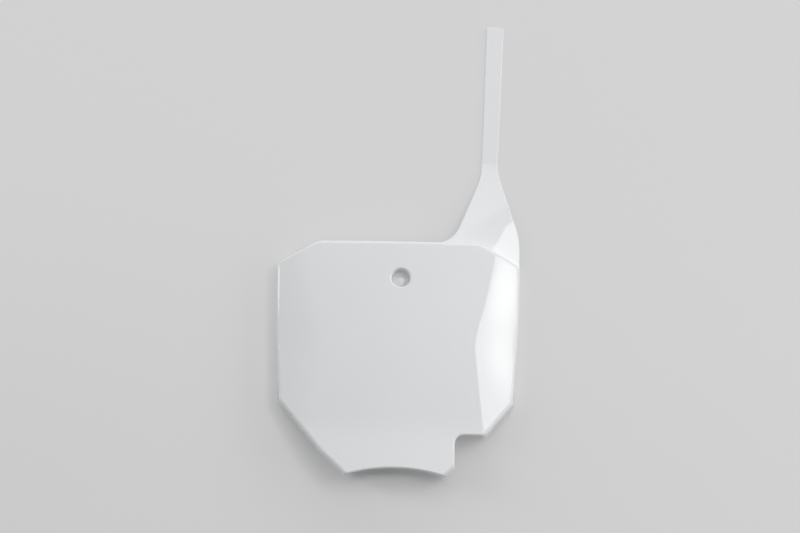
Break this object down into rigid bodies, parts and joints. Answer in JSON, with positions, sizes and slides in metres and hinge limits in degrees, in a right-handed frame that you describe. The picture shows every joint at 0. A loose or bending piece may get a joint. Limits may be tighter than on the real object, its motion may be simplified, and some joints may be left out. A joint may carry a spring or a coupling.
{
  "type": "racing number board",
  "caption": "One-piece moulded front number board for a racing motorbike, with a crowned face, turned-back edge, bolt recess, hose notch and a long strap for the handlebar.",
  "frame": {"origin": "centre of the bolt hole, on the seat at the bottom of the recess", "axes": "the board lies on its back: +X to the right as its face is seen, +Y up the board towards the tip of the strap, +Z out of the face along the bolt"},
  "size_m": [0.2458, 0.4689, 0.0359],
  "materials": {
    "white_plastic": "high gloss"
  },
  "bodies": {
    "root": {"number_board": "white_plastic"}
  },
  "joints": []
}
